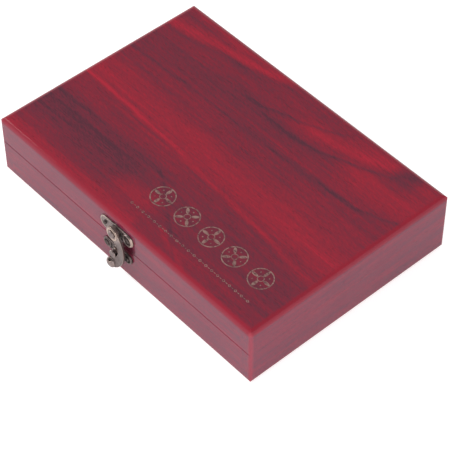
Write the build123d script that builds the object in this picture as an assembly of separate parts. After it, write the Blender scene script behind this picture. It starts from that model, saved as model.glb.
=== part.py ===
from build123d import *
import os

# A hinged wooden coin case with a swing-hook catch and a tray of round coin capsules.
# Millimetres. X runs along the case, -Y is the front, +Z is up.
# The origin is the centre of the case's underside.

# Case body
LENGTH = 225.0
DEPTH = 155.0
HEIGHT = 45.0
BASE_HEIGHT = 25.5
SEAM_GAP = 0.05
WALL = 8.0
CORNER_ROUND = 2.0
TOP_ROUND = 4.0
BOTTOM_ROUND = 3.8
SEAM_BEVEL = 0.45
LID_PANEL = 5.0
BOTTOM_PANEL = 4.0
REBATE = 3.0
PANEL_CLEARANCE = 0.1

# Soft lining under the lid and flocked tray in the base
LINING = 4.0
LINING_CLEARANCE = 0.4
LINING_ROUND = 1.5
TRAY_SHEET = 5.0
TRAY_BELOW_RIM = 1.5
TRAY_CLEARANCE = 0.3
FINGER_CHANNEL = 14.0
FINGER_DEPTH = 3.5

# Coin capsules
CAPSULE_COLUMNS = 5
CAPSULE_ROWS = 3
CAPSULE_DIAMETER = 34.0
CAPSULE_THICKNESS = 6.2
CAPSULE_FACE = 1.3
CAPSULE_SKIRT = 2.1
CAPSULE_RING = 1.6
CAPSULE_FIT = 0.08
SEAT_CLEARANCE = 0.3
CAPSULE_ROUND = 0.35

# Butt hinges on the back
HINGE_X = 70.0
LEAF_WIDTH = 24.0
LEAF_HEIGHT = 11.5
LEAF_THICKNESS = 1.0
LEAF_ROUND = 1.5
KNUCKLE_RADIUS = 2.2
KNUCKLE_GAP = 0.1
KNUCKLE_CLEARANCE = 0.3
HINGE_PIN_RADIUS = 1.0
PIN_HEAD_RADIUS = 1.5
PIN_HEAD = 0.6
PIN_RUNNING_FIT = 0.05
PIN_TIGHT_FIT = 0.01

# Hinge screws
SCREW_SPACING = 15.0
SCREW_SHANK_RADIUS = 0.9
SCREW_SHORT_OF_INSIDE = 2.0
SCREW_HEAD_RADIUS = 1.7
SCREW_HEAD = 0.9
SCREW_SLOT = 0.4
SCREW_SLOT_DEPTH = 0.4

# Catch on the front: a plate and hook on the lid, a keeper on the base
CATCH_X = -1.6
PIVOT_ABOVE_BASE = 9.4
STUD_BELOW_RIM = 7.3
PLATE_THICKNESS = 1.2
PLATE_RIM = 0.9
PLATE_RIM_HEIGHT = 0.6
LATCH_LOBE_RADIUS = 4.6
LATCH_LOBE_SPACING = 20.0
LATCH_BAR = 8.8
KEEPER_LOBE_RADIUS = 3.7
KEEPER_LOBE_SPACING = 18.2
KEEPER_BAR = 6.8
BOSS_RADIUS = 3.6
HOOK_STANDOFF = 2.9
HOOK_THICKNESS = 1.5
HOOK_AIR = 0.1
HOOK_HEAD_RADIUS = 5.0
HOOK_BULGE_OUTSIDE = 9.6
HOOK_BULGE_INSIDE = 4.6
HOOK_BULGE_ABOVE_STUD = 5.1
HOOK_LIP = 1.8
HOOK_LIP_WALL = 0.6
HOOK_SHOULDER_ANGLE = 20.0
KNOB_OFFSET = -2.4
KNOB_BELOW_STUD = 9.6
KNOB_RADIUS = 3.5
KNOB_THICKNESS = 3.6
KNOB_ROUND = 1.2
KNOB_JOIN_ANGLE = -50.0
RIVET_RADIUS = 1.3
RIVET_HEAD_RADIUS = 2.6
RIVET_HEAD = 1.2
STUD_NECK_RADIUS = 1.9
STUD_BASE_RADIUS = 2.7
STUD_HEAD_RADIUS = 2.7
STUD_HEAD = 1.0
STUD_TAIL_RADIUS = 1.2
HOOK_CATCH_CLEARANCE = 0.25
NAIL_SHANK_RADIUS = 0.6
NAIL_SHORT_OF_INSIDE = 3.2
NAIL_HEAD_RADIUS = 1.4
NAIL_HEAD = 0.7
NAIL_FIT = 0.02
HOLE_BOTTOM = 0.3
DOME = 0.8

# Worked out from the sizes above
CUT = 1.0
INSIDE_LENGTH = LENGTH - 2 * WALL
INSIDE_DEPTH = DEPTH - 2 * WALL
LID_FLOOR = BASE_HEIGHT + SEAM_GAP
LID_WALL_TOP = HEIGHT - LID_PANEL
TRAY_TOP = BASE_HEIGHT - TRAY_BELOW_RIM
CAPSULE_FLOOR = TRAY_TOP - TRAY_SHEET
CAPSULE_RADIUS = CAPSULE_DIAMETER / 2
SEAT_RADIUS = CAPSULE_RADIUS + SEAT_CLEARANCE
COLUMN_PITCH = (INSIDE_LENGTH - SEAT_RADIUS * 2 * CAPSULE_COLUMNS) / (CAPSULE_COLUMNS + 1) + SEAT_RADIUS * 2
ROW_PITCH = (INSIDE_DEPTH - SEAT_RADIUS * 2 * CAPSULE_ROWS) / (CAPSULE_ROWS + 1) + SEAT_RADIUS * 2
HINGE_Y = DEPTH / 2 + KNUCKLE_RADIUS + KNUCKLE_CLEARANCE
HINGE_Z = BASE_HEIGHT + SEAM_GAP / 2
KNUCKLE_LENGTH = LEAF_WIDTH / 3
LEAF_START = KNUCKLE_RADIUS + KNUCKLE_CLEARANCE
SCREW_DROP = (LEAF_START + LEAF_HEIGHT) / 2
SCREW_LENGTH = LEAF_THICKNESS + WALL - SCREW_SHORT_OF_INSIDE
NAIL_LENGTH = PLATE_THICKNESS + WALL - NAIL_SHORT_OF_INSIDE
PIVOT_HEIGHT = BASE_HEIGHT + PIVOT_ABOVE_BASE
STUD_HEIGHT = BASE_HEIGHT - STUD_BELOW_RIM
STUD_DROP = PIVOT_HEIGHT - STUD_HEIGHT
STANDING = (Align.CENTER, Align.CENTER, Align.MIN)
HANGING = (Align.CENTER, Align.CENTER, Align.MAX)

# The front face seen as a drawing: x is along the case, y is height, z stands out of the face.
FRONT_FACE = Pos(0, -DEPTH / 2, 0) * Rot(90, 0, 0)


def save(part, name):
    """Write one piece, whether it is one solid or a group of like ones."""
    part.label = name
    export_step(part, f"parts/{name}.step")


def slab(length, depth, low, high):
    """A plain block centred on the case, between two heights."""
    return Pos(0, 0, low) * Box(length, depth, high - low, align=STANDING)


def round_bar(radius, low, high):
    """A cylinder on the Z axis between two heights."""
    return Pos(0, 0, low) * Cylinder(radius, high - low, align=STANDING)


def rounded_section(width):
    """The case's cross-section over a width, with its top and bottom edges rounded."""
    section = Pos(0, HEIGHT / 2) * Rectangle(width, HEIGHT)
    section = fillet(section.vertices().group_by(Axis.Y)[-1], TOP_ROUND)
    return fillet(section.vertices().group_by(Axis.Y)[0], BOTTOM_ROUND)


def case_block():
    """The closed case as one rounded block: its plan, its front view and its side view in one."""
    plan = extrude(RectangleRounded(LENGTH, DEPTH, CORNER_ROUND), HEIGHT)
    front_view = Rot(90, 0, 0) * extrude(rounded_section(LENGTH), DEPTH / 2 + CUT, both=True)
    side_view = Rot(0, 0, 90) * Rot(90, 0, 0) * extrude(rounded_section(DEPTH), LENGTH / 2 + CUT, both=True)
    return plan & front_view & side_view


def side_wedge(side):
    """The space that holds one side's board, cut off at both ends by the mitre planes."""
    reach = WALL + CUT
    across = LENGTH / 2 if side in ("front", "back") else DEPTH / 2
    out = DEPTH / 2 if side in ("front", "back") else LENGTH / 2
    outer, inner = across + CUT, across - reach
    outline = Polygon(
        (-outer, -out - CUT), (outer, -out - CUT), (inner, -out + reach), (-inner, -out + reach), align=None
    )
    turn = {"front": 0, "right": 90, "back": 180, "left": 270}[side]
    return Rot(0, 0, turn) * Pos(0, 0, -CUT) * extrude(outline, HEIGHT + 2 * CUT)


def base_frame():
    """The lower frame before it is cut into four boards, with its rebate for the bottom panel."""
    frame = case_block() & slab(LENGTH, DEPTH, 0, BASE_HEIGHT)
    frame -= slab(INSIDE_LENGTH, INSIDE_DEPTH, -CUT, HEIGHT)
    return frame - slab(INSIDE_LENGTH + 2 * REBATE, INSIDE_DEPTH + 2 * REBATE, -CUT, BOTTOM_PANEL)


def lid_frame():
    """The lid's frame before it is cut into four boards."""
    frame = case_block() & slab(LENGTH, DEPTH, LID_FLOOR, LID_WALL_TOP)
    return frame - slab(INSIDE_LENGTH, INSIDE_DEPTH, 0, HEIGHT)


def seam_bevel():
    """The bar that breaks the two front edges at the seam."""
    side = SEAM_BEVEL * 2**0.5 + SEAM_GAP / 2**0.5
    return Pos(0, -DEPTH / 2, HINGE_Z) * Rot(45, 0, 0) * Box(LENGTH, side, side)


def board(frame, side, holes):
    """One mitred board of a frame, with its fastener holes."""
    wall = frame & side_wedge(side)
    if side == "front":
        wall -= seam_bevel()
    for hole in holes:
        wall -= hole
    return wall


def bottom_panel():
    """The case floor, flush with the frame's underside."""
    edge = 2 * (REBATE - PANEL_CLEARANCE)
    return slab(INSIDE_LENGTH + edge, INSIDE_DEPTH + edge, 0, BOTTOM_PANEL)


def lid_panel():
    """The lid's top board, which lies on the lid frame."""
    return case_block() & slab(LENGTH, DEPTH, LID_WALL_TOP, HEIGHT)


def lid_lining():
    """The soft lining glued under the lid panel, rounded along its lower edges."""
    edge = 2 * LINING_CLEARANCE
    pad = slab(INSIDE_LENGTH - edge, INSIDE_DEPTH - edge, LID_WALL_TOP - LINING, LID_WALL_TOP)
    return fillet(pad.faces().sort_by(Axis.Z)[0].edges(), LINING_ROUND)


def capsule_places():
    """The centres of the capsules, row by row from the front left."""
    return [
        ((column - (CAPSULE_COLUMNS - 1) / 2) * COLUMN_PITCH, (row - (CAPSULE_ROWS - 1) / 2) * ROW_PITCH)
        for row in range(CAPSULE_ROWS)
        for column in range(CAPSULE_COLUMNS)
    ]


def tray_riser():
    """The block that carries the tray."""
    edge = 2 * TRAY_CLEARANCE
    return slab(INSIDE_LENGTH - edge, INSIDE_DEPTH - edge, BOTTOM_PANEL, CAPSULE_FLOOR)


def capsule_tray():
    """The flocked sheet: a round seat for each capsule, and a finger channel along each column."""
    edge = 2 * TRAY_CLEARANCE
    sheet = slab(INSIDE_LENGTH - edge, INSIDE_DEPTH - edge, CAPSULE_FLOOR, TRAY_TOP)
    for x, y in capsule_places():
        sheet -= Pos(x, y, 0) * round_bar(SEAT_RADIUS, CAPSULE_FLOOR - CUT, TRAY_TOP + CUT)
    run = (CAPSULE_ROWS - 1) * ROW_PITCH + CAPSULE_DIAMETER
    for column in range(CAPSULE_COLUMNS):
        x = capsule_places()[column][0]
        channel = extrude(SlotOverall(run, FINGER_CHANNEL, 90), FINGER_DEPTH + CUT)
        sheet -= Pos(x, 0, TRAY_TOP - FINGER_DEPTH) * channel
    return sheet


def capsule_bottom():
    """The lower half of a capsule: a clear face with a ring that the upper half closes over."""
    ring_radius = CAPSULE_RADIUS - CAPSULE_SKIRT - CAPSULE_FIT
    ring_top = CAPSULE_THICKNESS - CAPSULE_FACE - CAPSULE_FIT
    face = round_bar(CAPSULE_RADIUS, 0, CAPSULE_FACE)
    face = fillet(face.faces().sort_by(Axis.Z)[0].edges(), CAPSULE_ROUND)
    ring = round_bar(ring_radius, CAPSULE_FACE, ring_top)
    ring -= round_bar(ring_radius - CAPSULE_RING, CAPSULE_FACE, ring_top)
    return face + ring


def capsule_top():
    """The upper half of a capsule: a clear face with a skirt that reaches down to the lower half."""
    cap = round_bar(CAPSULE_RADIUS, CAPSULE_FACE, CAPSULE_THICKNESS)
    cap = fillet(cap.faces().sort_by(Axis.Z)[-1].edges(), CAPSULE_ROUND)
    return cap - round_bar(CAPSULE_RADIUS - CAPSULE_SKIRT, 0, CAPSULE_THICKNESS - CAPSULE_FACE)


def knuckle(start, fit):
    """One third of a hinge's barrel, bored for its pin."""
    low, high = start + KNUCKLE_GAP / 2, start + KNUCKLE_LENGTH - KNUCKLE_GAP / 2
    barrel = round_bar(KNUCKLE_RADIUS, low, high) - round_bar(HINGE_PIN_RADIUS + fit, low - CUT, high + CUT)
    return Pos(0, HINGE_Y, HINGE_Z) * Rot(0, 90, 0) * barrel


def hinge_leaf(direction, starts, fit):
    """One hinge leaf at x = 0: up (1) or down (-1) from the axis, with its knuckles and screw holes."""
    flat = RectangleRounded(LEAF_WIDTH, 2 * LEAF_HEIGHT, LEAF_ROUND)
    plate = Pos(0, DEPTH / 2, HINGE_Z) * Rot(90, 0, 0) * extrude(flat, -LEAF_THICKNESS)
    centre = HINGE_Z + direction * (LEAF_HEIGHT + LEAF_START) / 2
    leaf = plate & Pos(0, DEPTH / 2, centre) * Box(LEAF_WIDTH, DEPTH, LEAF_HEIGHT - LEAF_START)
    for start in starts:
        middle = start + KNUCKLE_LENGTH / 2
        tongue = Box(KNUCKLE_LENGTH - KNUCKLE_GAP, LEAF_THICKNESS, LEAF_START + CUT)
        tongue_place = Pos(middle, DEPTH / 2 + LEAF_THICKNESS / 2, HINGE_Z + direction * (LEAF_START + CUT) / 2)
        leaf += tongue_place * tongue
        leaf -= Pos(middle, HINGE_Y, HINGE_Z) * Rot(0, 90, 0) * Cylinder(HINGE_PIN_RADIUS + fit, KNUCKLE_LENGTH)
        leaf += knuckle(start, fit)
    for x in screw_columns():
        hole = Pos(x, DEPTH / 2, HINGE_Z + direction * SCREW_DROP) * Rot(90, 0, 0)
        leaf -= hole * Cylinder(SCREW_SHANK_RADIUS + NAIL_FIT, 2 * CUT + 2 * LEAF_THICKNESS)
    return leaf


def hinge_pin():
    """The hinge pin at x = 0, headed at both ends."""
    half = 3 * KNUCKLE_LENGTH / 2 - KNUCKLE_GAP / 2
    pin = round_bar(HINGE_PIN_RADIUS, -half, half)
    pin += round_bar(PIN_HEAD_RADIUS, half, half + PIN_HEAD)
    pin += round_bar(PIN_HEAD_RADIUS, -half - PIN_HEAD, -half)
    return Pos(0, HINGE_Y, HINGE_Z) * Rot(0, 90, 0) * pin


def screw_columns():
    """The places of a leaf's two screws along the hinge."""
    return (-SCREW_SPACING / 2, SCREW_SPACING / 2)


def screw_places(direction):
    """Where the screws of both hinges' base leaves (-1) or lid leaves (1) enter, with +Z out of the back."""
    return [
        Pos(hinge_x + x, DEPTH / 2 + LEAF_THICKNESS, HINGE_Z + direction * SCREW_DROP) * Rot(-90, 0, 0)
        for hinge_x in (-HINGE_X, HINGE_X)
        for x in screw_columns()
    ]


def headed_pin(head_radius, head, shank_radius, length):
    """A nail or screw: its shank hangs below z = 0 and its domed head stands above."""
    dome = round_bar(head_radius, 0, head)
    dome = fillet(dome.faces().sort_by(Axis.Z)[-1].edges(), head * DOME)
    return dome + round_bar(shank_radius, -length, 0)


def screw():
    """A slotted round-head hinge screw."""
    body = headed_pin(SCREW_HEAD_RADIUS, SCREW_HEAD, SCREW_SHANK_RADIUS, SCREW_LENGTH)
    slot = Box(3 * SCREW_HEAD_RADIUS, SCREW_SLOT, SCREW_SLOT_DEPTH, align=HANGING)
    return body - Pos(0, 0, SCREW_HEAD) * slot


def nail():
    """A round-head nail of the catch."""
    return headed_pin(NAIL_HEAD_RADIUS, NAIL_HEAD, NAIL_SHANK_RADIUS, NAIL_LENGTH)


def shank_hole(place, radius, length):
    """The hole in the wood for a shank that enters at a place."""
    return place * round_bar(radius + NAIL_FIT, -length - HOLE_BOTTOM, CUT)


def group(shape, places):
    """Copies of one fastener as separate solids of one piece."""
    return Compound(children=[place * shape for place in places])


def nail_places(height, spacing):
    """Where a catch plate's two nails enter, with +Z out of the front."""
    return [FRONT_FACE * Pos(CATCH_X + side * spacing / 2, height, PLATE_THICKNESS) for side in (-1, 1)]


def lobed_plate(lobe_radius, spacing, bar, middle_radius):
    """A cast catch plate, drawn about its centre: a bar with two rimmed lobes and nail holes."""
    outline = Rectangle(spacing, bar) + Circle(middle_radius)
    rims = Sketch()
    for side in (-1, 1):
        lobe = Pos(side * spacing / 2, 0)
        outline += lobe * Circle(lobe_radius)
        rims += lobe * (Circle(lobe_radius) - Circle(lobe_radius - PLATE_RIM))
    plate = extrude(outline, PLATE_THICKNESS) + extrude(rims, PLATE_THICKNESS + PLATE_RIM_HEIGHT)
    for side in (-1, 1):
        plate -= Pos(side * spacing / 2, 0) * round_bar(NAIL_SHANK_RADIUS + NAIL_FIT, -CUT, PLATE_THICKNESS + CUT)
    return plate


def latch_plate():
    """The catch plate on the lid, with the raised boss that the hook turns on."""
    plate = lobed_plate(LATCH_LOBE_RADIUS, LATCH_LOBE_SPACING, LATCH_BAR, HOOK_HEAD_RADIUS)
    plate += round_bar(BOSS_RADIUS, 0, HOOK_STANDOFF)
    plate -= round_bar(RIVET_RADIUS + PIN_TIGHT_FIT, -CUT, HOOK_STANDOFF + CUT)
    return FRONT_FACE * Pos(CATCH_X, PIVOT_HEIGHT, 0) * plate


def keeper_plate():
    """The catch plate on the base, with the hole that the stud is riveted into."""
    plate = lobed_plate(KEEPER_LOBE_RADIUS, KEEPER_LOBE_SPACING, KEEPER_BAR, KEEPER_LOBE_RADIUS)
    plate -= round_bar(STUD_TAIL_RADIUS + PIN_TIGHT_FIT, -CUT, PLATE_THICKNESS + CUT)
    return FRONT_FACE * Pos(CATCH_X, STUD_HEIGHT, 0) * plate


def keeper_stud():
    """The button that the hook catches: tail, base, neck and head."""
    neck_top = HOOK_STANDOFF + HOOK_THICKNESS + 3 * HOOK_AIR
    stud = round_bar(STUD_TAIL_RADIUS, 0, PLATE_THICKNESS)
    stud += round_bar(STUD_BASE_RADIUS, PLATE_THICKNESS, HOOK_STANDOFF - HOOK_AIR)
    stud += round_bar(STUD_NECK_RADIUS, PLATE_THICKNESS, neck_top)
    head = round_bar(STUD_HEAD_RADIUS, neck_top, neck_top + STUD_HEAD)
    stud += fillet(head.faces().sort_by(Axis.Z)[-1].edges(), STUD_HEAD * DOME)
    return FRONT_FACE * Pos(CATCH_X, STUD_HEIGHT, 0) * stud


def knob_centre():
    """The centre of the hook's knob, from its pivot."""
    return Vector(KNOB_OFFSET, -STUD_DROP - KNOB_BELOW_STUD)


def stud_track():
    """The way that the stud's neck takes out of the hook as the hook swings, about the hook's pivot."""
    room = STUD_NECK_RADIUS + HOOK_CATCH_CLEARANCE
    ring = Circle(STUD_DROP + room) - Circle(STUD_DROP - room)
    left_quarter = Pos(-STUD_DROP, -STUD_DROP) * Rectangle(2 * STUD_DROP, 2 * STUD_DROP)
    return (ring & left_quarter) + Pos(0, -STUD_DROP) * Circle(room)


def hook_outline():
    """The hook seen from the front, about its pivot: head, crescent arm and knob, less the stud's way out."""
    knob = knob_centre()
    knob_side = knob + Vector(KNOB_RADIUS, 0).rotate(Axis.Z, KNOB_JOIN_ANGLE)
    shoulder = Vector(HOOK_HEAD_RADIUS, 0).rotate(Axis.Z, HOOK_SHOULDER_ANGLE)
    under_head = Vector(0, -HOOK_HEAD_RADIUS)
    bulge = HOOK_BULGE_ABOVE_STUD - STUD_DROP
    lip = Vector(-HOOK_LIP, -STUD_DROP - STUD_NECK_RADIUS - HOOK_CATCH_CLEARANCE - HOOK_LIP_WALL)
    arm = make_face(
        [
            ThreePointArc(shoulder, Vector(HOOK_BULGE_OUTSIDE, bulge), knob_side),
            Line(knob_side, knob),
            Line(knob, lip),
            ThreePointArc(lip, Vector(HOOK_BULGE_INSIDE, bulge), under_head),
            Line(under_head, (0, 0)),
            Line((0, 0), shoulder),
        ]
    )
    return arm + Circle(HOOK_HEAD_RADIUS) + Pos(*knob) * Circle(KNOB_RADIUS) - stud_track()


def latch_hook():
    """The swinging hook, latched, with its knob curled outward."""
    hook = extrude(hook_outline(), HOOK_THICKNESS)
    knob = round_bar(KNOB_RADIUS, 0, KNOB_THICKNESS)
    knob = fillet(knob.faces().sort_by(Axis.Z)[-1].edges(), KNOB_ROUND)
    hook += Pos(*knob_centre()) * knob
    hook -= Cylinder(RIVET_RADIUS + PIN_RUNNING_FIT, 4 * HOOK_THICKNESS)
    return FRONT_FACE * Pos(CATCH_X, PIVOT_HEIGHT, HOOK_STANDOFF + HOOK_AIR) * hook


def hook_rivet():
    """The rivet that holds the hook to its plate."""
    under_head = HOOK_STANDOFF + HOOK_THICKNESS + 2 * HOOK_AIR
    head = round_bar(RIVET_HEAD_RADIUS, under_head, under_head + RIVET_HEAD)
    head = fillet(head.faces().sort_by(Axis.Z)[-1].edges(), RIVET_HEAD * DOME)
    return FRONT_FACE * Pos(CATCH_X, PIVOT_HEIGHT, 0) * (head + round_bar(RIVET_RADIUS, 0, under_head))


def save_case():
    """Write the boards, panels, lining and tray."""
    lid_nails = nail_places(PIVOT_HEIGHT, LATCH_LOBE_SPACING)
    base_nails = nail_places(STUD_HEIGHT, KEEPER_LOBE_SPACING)
    nail_depth = (NAIL_SHANK_RADIUS, NAIL_LENGTH)
    screw_depth = (SCREW_SHANK_RADIUS, SCREW_LENGTH)
    holes = {
        ("base", "front"): [shank_hole(place, *nail_depth) for place in base_nails],
        ("lid", "front"): [shank_hole(place, *nail_depth) for place in lid_nails],
        ("base", "back"): [shank_hole(place, *screw_depth) for place in screw_places(-1)],
        ("lid", "back"): [shank_hole(place, *screw_depth) for place in screw_places(1)],
    }
    for half, frame in (("base", base_frame()), ("lid", lid_frame())):
        for side in ("front", "back", "left", "right"):
            save(board(frame, side, holes.get((half, side), [])), f"{half}_{side}_wall")
    save(bottom_panel(), "bottom_panel")
    save(lid_panel(), "lid_panel")
    save(lid_lining(), "lid_lining")
    save(tray_riser(), "tray_riser")
    save(capsule_tray(), "capsule_tray")
    save(group(nail(), lid_nails), "latch_nails")
    save(group(nail(), base_nails), "keeper_nails")


def save_capsules():
    """Write both halves of every capsule, each in its seat."""
    lower, upper = capsule_bottom(), capsule_top()
    for number, (x, y) in enumerate(capsule_places(), start=1):
        place = Pos(x, y, CAPSULE_FLOOR)
        save(place * lower, f"capsule_bottom_{number:02d}")
        save(place * upper, f"capsule_top_{number:02d}")


def save_hinges():
    """Write both hinges and the screws that hold them."""
    first = -3 * KNUCKLE_LENGTH / 2
    base_leaf = hinge_leaf(-1, (first, first + 2 * KNUCKLE_LENGTH), PIN_TIGHT_FIT)
    lid_leaf = hinge_leaf(1, (first + KNUCKLE_LENGTH,), PIN_RUNNING_FIT)
    for side, x in (("left", -HINGE_X), ("right", HINGE_X)):
        save(Pos(x, 0, 0) * base_leaf, f"{side}_hinge_base_leaf")
        save(Pos(x, 0, 0) * lid_leaf, f"{side}_hinge_lid_leaf")
        save(Pos(x, 0, 0) * hinge_pin(), f"{side}_hinge_pin")
    save(group(screw(), screw_places(-1)), "base_hinge_screws")
    save(group(screw(), screw_places(1)), "lid_hinge_screws")


def save_catch():
    """Write the pieces of the catch."""
    save(latch_plate(), "latch_plate")
    save(latch_hook(), "latch_hook")
    save(hook_rivet(), "hook_rivet")
    save(keeper_plate(), "keeper_plate")
    save(keeper_stud(), "keeper_stud")


if __name__ == "__main__":
    os.makedirs("parts", exist_ok=True)
    save_case()
    save_capsules()
    save_hinges()
    save_catch()
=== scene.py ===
"""The looks of a lacquered rosewood coin case: its boards, catch, hinges, tray and capsules.

Every length is in metres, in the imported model's own frame: +X runs along the case to the right, -Y
is the front with the catch, and +Z is up. The patterns inside materials are in millimetres.
"""

import logging
import math
from contextlib import contextmanager
from dataclasses import dataclass
from enum import Enum
from typing import Iterator, Sequence

import bmesh
import bpy
import numpy as np
from mathutils import Matrix, Vector


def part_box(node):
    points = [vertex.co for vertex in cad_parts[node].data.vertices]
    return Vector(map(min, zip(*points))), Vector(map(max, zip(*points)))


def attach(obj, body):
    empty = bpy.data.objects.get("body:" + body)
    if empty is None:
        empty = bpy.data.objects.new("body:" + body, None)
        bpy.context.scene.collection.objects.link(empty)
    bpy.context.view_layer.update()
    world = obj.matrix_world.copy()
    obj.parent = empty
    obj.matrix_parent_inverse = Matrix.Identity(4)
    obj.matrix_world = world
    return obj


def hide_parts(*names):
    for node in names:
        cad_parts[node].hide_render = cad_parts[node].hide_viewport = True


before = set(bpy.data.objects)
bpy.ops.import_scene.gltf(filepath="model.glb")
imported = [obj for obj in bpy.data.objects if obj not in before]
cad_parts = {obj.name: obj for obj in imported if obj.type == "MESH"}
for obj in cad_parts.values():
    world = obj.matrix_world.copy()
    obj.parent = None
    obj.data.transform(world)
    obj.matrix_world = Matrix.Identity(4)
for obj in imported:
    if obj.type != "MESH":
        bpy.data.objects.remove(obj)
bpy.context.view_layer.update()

logging.basicConfig(level=logging.INFO, format="%(name)s: %(message)s")
log = logging.getLogger("coin_case")

Pair = tuple[float, float]
Triple = tuple[float, float, float]
Colour = Triple
Socket = bpy.types.NodeSocket
Node = bpy.types.Node
NodeTree = bpy.types.NodeTree
Material = bpy.types.Material
Piece = bpy.types.Object
MILLIMETRE = 0.001
HAIR = 0.0001
SQUARE_ON = 0.99
FRONT = Vector((0, -1, 0))
UP = Vector((0, 0, 1))


class Body(str, Enum):
    """The moving bodies that a piece may ride on."""

    BASE = "base"
    LID = "lid"
    HOOK = "hook"


class Slot(str, Enum):
    """The names of the record's material slots for the new pieces' finishes; they are passed along
    but not read.
    """

    BRASS = "antique_brass"
    TRAY = "flocked_tray"
    LINING = "lining_fabric"


def painted(red: int, green: int, blue: int) -> Colour:
    """A colour as a paint chart gives it, turned into linear light.

    Args:
        red: Its red, 0 to 255.
        green: Its green.
        blue: Its blue.

    Returns:
        The colour.
    """

    def linear(level: int) -> float:
        """One of the three in linear light."""
        share = level / 255
        return share / 12.92 if share <= 0.04045 else ((share + 0.055) / 1.055) ** 2.4

    return linear(red), linear(green), linear(blue)


# ---------------------------------------------------------------- node graphs


class Graph:
    """A node tree with short calls for the nodes that the finishes are made of."""

    # The Mix node's sockets for each kind: share, first, second and result.
    MIX_SOCKETS = {"FLOAT": (0, 2, 3, 0), "VECTOR": (0, 4, 5, 1), "RGBA": (0, 6, 7, 2)}

    def __init__(self, tree: NodeTree) -> None:
        """Start on a tree.

        Args:
            tree: The node tree that nodes are added to.
        """
        self.tree = tree

    def add(self, kind: str, **settings: object) -> Node:
        """Add a node.

        Args:
            kind: The node's type, without its ShaderNode prefix.
            settings: Properties to set on it.

        Returns:
            The node.
        """
        node = self.tree.nodes.new("ShaderNode" + kind)
        for name, value in settings.items():
            setattr(node, name, value)
        return node

    def feed(self, socket: Socket, value: object) -> None:
        """Link a socket's value in, or set it where it is a plain number or colour.

        Args:
            socket: The input socket.
            value: Another node's output, or a constant.
        """
        if isinstance(value, bpy.types.NodeSocket):
            self.tree.links.new(value, socket)
        else:
            socket.default_value = value

    def wire(self, node: Node, **values: object) -> Node:
        """Feed a node's inputs by name.

        Args:
            node: The node.
            values: Its inputs by name, with _ for a space.

        Returns:
            The node.
        """
        for name, value in values.items():
            self.feed(node.inputs[name.replace("_", " ")], value)
        return node

    def calculate(self, node: Node, values: Sequence[object]) -> Socket:
        """Feed a node's inputs in order.

        Args:
            node: The node.
            values: Its inputs.

        Returns:
            Its first output.
        """
        for socket, value in zip(node.inputs, values):
            self.feed(socket, value)
        return node.outputs[0]

    def math(self, operation: str, *values: object) -> Socket:
        """A Math node's result."""
        return self.calculate(self.add("Math", operation=operation), values)

    def vector(self, operation: str, *values: object) -> Socket:
        """A Vector Math node's vector result."""
        return self.calculate(self.add("VectorMath", operation=operation), values)

    def chain(self, operation: str, values: Sequence[object]) -> Socket:
        """One operation over several values.

        Args:
            operation: The Math node's operation.
            values: The values in order.

        Returns:
            The result.
        """
        result = values[0]
        for value in values[1:]:
            result = self.math(operation, result, value)
        return result

    def total(self, *values: object) -> Socket:
        """The sum of the values."""
        return self.chain("ADD", values)

    def product(self, *values: object) -> Socket:
        """The values multiplied."""
        return self.chain("MULTIPLY", values)

    def inverse(self, mask: Socket) -> Socket:
        """What a mask leaves out."""
        return self.math("SUBTRACT", 1.0, mask)

    def ranged(self, value: Socket, at_none: float, at_full: float) -> Socket:
        """A value of 0 to 1 carried over to another range."""
        return self.math("MULTIPLY_ADD", value, at_full - at_none, at_none)

    def swing(self, value: Socket, width: float) -> Socket:
        """A value of 0 to 1 carried over to one that swings about 0."""
        return self.ranged(value, -width / 2, width / 2)

    def span(
        self, value: Socket, low: float, high: float, to_low: float = 0, to_high: float = 1
    ) -> Socket:
        """A value's smooth step from low to high.

        Args:
            value: The value.
            low: Where the step starts.
            high: Where it ends.
            to_low: The result before it.
            to_high: The result after it.

        Returns:
            The stepped value.
        """
        step = self.add("MapRange", interpolation_type="SMOOTHSTEP")
        return self.calculate(step, (value, low, high, to_low, to_high))

    def split(self, vector: Socket) -> list[Socket]:
        """A vector's X, Y and Z."""
        return self.wire(self.add("SeparateXYZ"), Vector=vector).outputs[:]

    def combine(self, x: object, y: object, z: object) -> Socket:
        """A vector of its X, Y and Z."""
        return self.calculate(self.add("CombineXYZ"), (x, y, z))

    def turned(self, place: Socket, angles: Triple) -> Socket:
        """Coordinates turned about the three axes, in radians."""
        return self.wire(self.add("Mapping"), Vector=place, Rotation=angles).outputs[0]

    def place(self) -> Socket:
        """The point on the piece, in millimetres in the case's own frame."""
        return self.vector("MULTIPLY", self.add("TexCoord").outputs["Object"], (1000, 1000, 1000))

    def noise(
        self, place: Socket, size: Sequence[float], detail: float = 3, roughness: float = 0.55
    ) -> Socket:
        """Cloudy noise that may be drawn out along an axis.

        Args:
            place: The coordinates, in millimetres.
            size: The size of one cloud along X, Y and Z, in millimetres.
            detail: How many finer layers it has.
            roughness: How strong the finer layers are.

        Returns:
            The noise, about 0.5 on average.
        """
        scaled = self.vector("DIVIDE", place, tuple(size))
        node = self.add("TexNoise")
        self.wire(node, Vector=scaled, Scale=1.0, Detail=detail, Roughness=roughness)
        return node.outputs["Fac"]

    def mix(self, kind: str, share: object, first: object, second: object) -> Socket:
        """Two values mixed.

        Args:
            kind: What they are: FLOAT, VECTOR or RGBA.
            share: How much of the second, 0 to 1.
            first: The first value.
            second: The second value.

        Returns:
            The mixed value.
        """
        node = self.add("Mix", data_type=kind)
        *inputs, output = self.MIX_SOCKETS[kind]
        for index, value in zip(inputs, (share, first, second)):
            self.feed(node.inputs[index], value)
        return node.outputs[output]

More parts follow.
